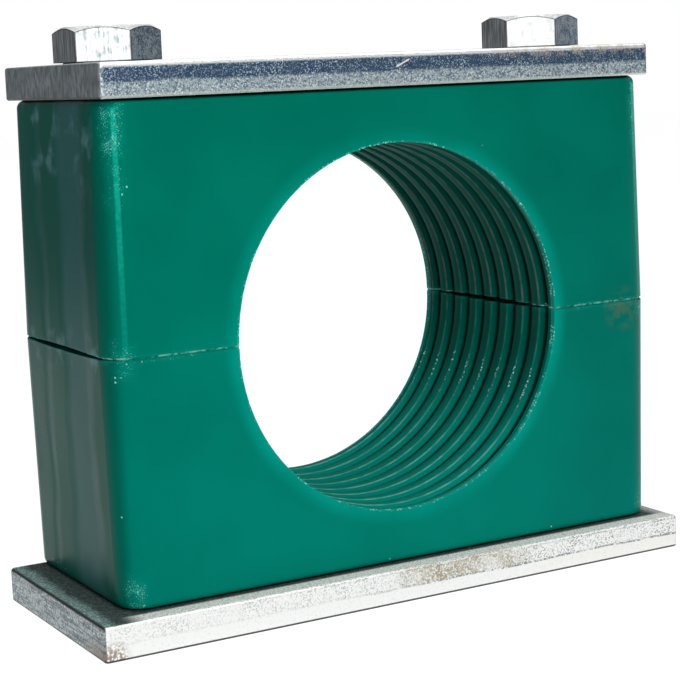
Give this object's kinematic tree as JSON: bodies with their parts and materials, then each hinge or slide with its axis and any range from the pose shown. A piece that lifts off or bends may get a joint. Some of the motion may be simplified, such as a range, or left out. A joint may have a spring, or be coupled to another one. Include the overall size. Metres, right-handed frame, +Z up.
{
  "type": "tube clamp",
  "caption": "Heavy tube clamp: two ribbed plastic half jaws held between a weld plate and a cover plate by hexagon bolts.",
  "frame": {"origin": "midway between the bolt axes, on the underside of the weld plate", "axes": "+Z up along the bolts, +X from the left bolt to the right bolt, Y along the tube"},
  "size_m": [0.1626, 0.0652, 0.1404],
  "materials": {
    "jaw_plastic": "moulded green polypropylene, satin, scuffed at the corners",
    "zinc_plate": "zinc plated steel, sheared edges",
    "zinc_bolt": "zinc plated steel",
    "nut_steel": "plain turned steel"
  },
  "bodies": {
    "base": {"weld_plate": "zinc_plate", "left_weld_nut": "nut_steel", "right_weld_nut": "nut_steel", "lower_jaw": "jaw_plastic"},
    "upper_half": {"upper_jaw": "jaw_plastic", "cover_plate": "zinc_plate"},
    "left_bolt": {"left_bolt": "zinc_bolt"},
    "right_bolt": {"right_bolt": "zinc_bolt"}
  },
  "joints": [
    {"name": "clamp_opening", "type": "slide", "parent": "base", "child": "upper_half", "axis": [0, 0, 1], "range_m": [0, 0.015]},
    {"name": "left_bolt_turn", "type": "hinge", "parent": "upper_half", "child": "left_bolt", "pos_m": [-0.0605, 0, 0.1319], "axis": [0, 0, 1], "range_deg": [0, 2700.1]},
    {"name": "right_bolt_turn", "type": "hinge", "parent": "upper_half", "child": "right_bolt", "pos_m": [0.0605, 0, 0.1319], "axis": [0, 0, 1], "range_deg": [0, 2700.1]}
  ],
  "couplings": [
    {"joint": "left_bolt_turn", "follows": "clamp_opening", "rad_per_m": 3141.6},
    {"joint": "right_bolt_turn", "follows": "clamp_opening", "rad_per_m": 3141.6}
  ]
}
